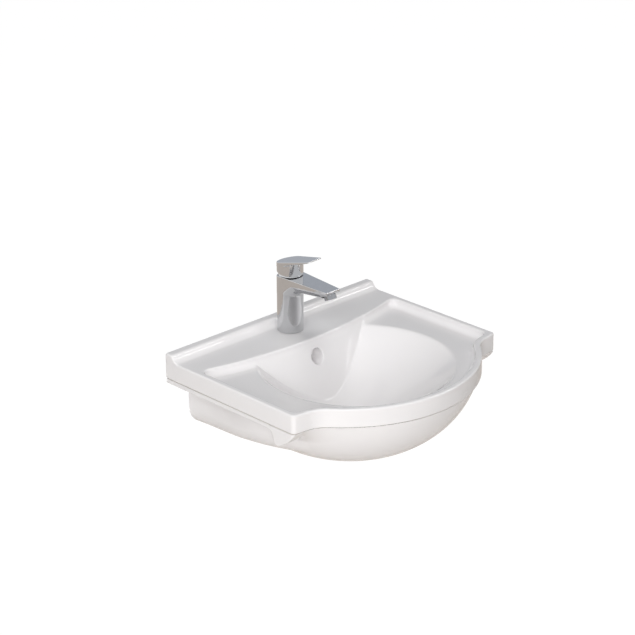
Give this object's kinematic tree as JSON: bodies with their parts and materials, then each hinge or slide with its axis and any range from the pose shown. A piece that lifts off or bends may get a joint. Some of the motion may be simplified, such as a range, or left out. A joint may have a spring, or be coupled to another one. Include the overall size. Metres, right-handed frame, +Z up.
{
  "type": "wash basin with shelf",
  "caption": "White ceramic wash basin with side shelves, rear upstand, overflow and bowed front, fitted with a chrome single-lever mixer tap whose lever swivels and lifts.",
  "frame": {"origin": "middle of the wall face, level with the flat top of the rim", "axes": "+X to the right for a person in front, -Y from the wall towards that person, +Z up"},
  "size_m": [0.5, 0.4289, 0.3097],
  "materials": {
    "glaze": "high-gloss white glaze",
    "chrome": "polished chrome on brass",
    "brass": "machined",
    "steel": "zinc plated",
    "rubber": "matt",
    "white_plastic": "moulded",
    "grey_plastic": "moulded",
    "disc_ceramic": "ground flat"
  },
  "bodies": {
    "fixed": {"basin": "glaze", "tap_body": "chrome", "base_gasket": "rubber", "cover_dome": "chrome", "cartridge_nut": "brass", "cartridge_housing": "white_plastic", "cartridge_seals": "rubber", "fixed_disc": "disc_ceramic", "aerator_housing": "chrome", "aerator_insert": "grey_plastic", "aerator_washer": "rubber", "fixing_stud": "steel", "horseshoe_gasket": "rubber", "horseshoe_plate": "steel", "fixing_nut": "brass"},
    "swivel": {"cartridge_turret": "white_plastic", "stem_pin": "steel"},
    "handle": {"lever": "chrome", "lever_stem": "brass", "lever_screw": "steel", "indicator_plug": "grey_plastic"},
    "disc": {"disc_carrier": "white_plastic", "moving_disc": "disc_ceramic"}
  },
  "joints": [
    {"name": "lever_swivel", "type": "hinge", "parent": "fixed", "child": "swivel", "pos_m": [0, -0.0524, 0.101], "axis": [0, 0, 1], "range_deg": [-45, 45]},
    {"name": "lever_lift", "type": "hinge", "parent": "swivel", "child": "handle", "pos_m": [0, -0.0524, 0.101], "axis": [-1, 0, 0], "range_deg": [0, 20]},
    {"name": "disc_slide", "type": "slide", "parent": "swivel", "child": "disc", "axis": [0, -1, 0], "range_m": [0, 0.006]}
  ],
  "couplings": [
    {"joint": "disc_slide", "follows": "lever_lift", "m_per_rad": 0.017}
  ]
}
